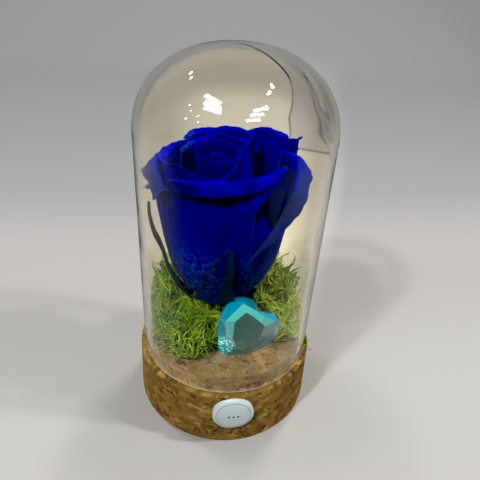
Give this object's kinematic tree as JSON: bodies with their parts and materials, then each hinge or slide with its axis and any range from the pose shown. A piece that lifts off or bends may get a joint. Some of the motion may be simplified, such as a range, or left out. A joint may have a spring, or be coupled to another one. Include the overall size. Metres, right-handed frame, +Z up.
{
  "type": "preserved rose in glass dome",
  "caption": "Preserved blue rose with moss and a clear heart gem under a glass dome on a round cork base.",
  "frame": {"origin": "centre of the cork base's flat underside", "axes": "+Z up along the dome's axis, -Y toward the round label on the cork's front"},
  "size_m": [0.0638, 0.0657, 0.1243],
  "materials": {
    "cork": "pressed cork granules, matt",
    "glass": "clear, smooth, slightly wavy",
    "petal_blue": "soft preserved petal, dyed royal blue",
    "sepal_teal": "dyed leaf, matt",
    "moss_green": "dyed reindeer moss, matt",
    "gem_teal": "clear acrylic, faceted",
    "glue_clear": "clear hot glue",
    "label_white": "glossy domed sticker"
  },
  "bodies": {
    "root": {"cork_base": "cork", "glass_dome": "glass", "rose_bloom": "petal_blue", "rose_stem": "sepal_teal", "moss_left": "moss_green", "moss_right": "moss_green", "moss_back": "moss_green", "moss_sprig": "moss_green", "heart_gem": "gem_teal", "glue_blob": "glue_clear", "label_disc": "label_white"}
  },
  "joints": []
}
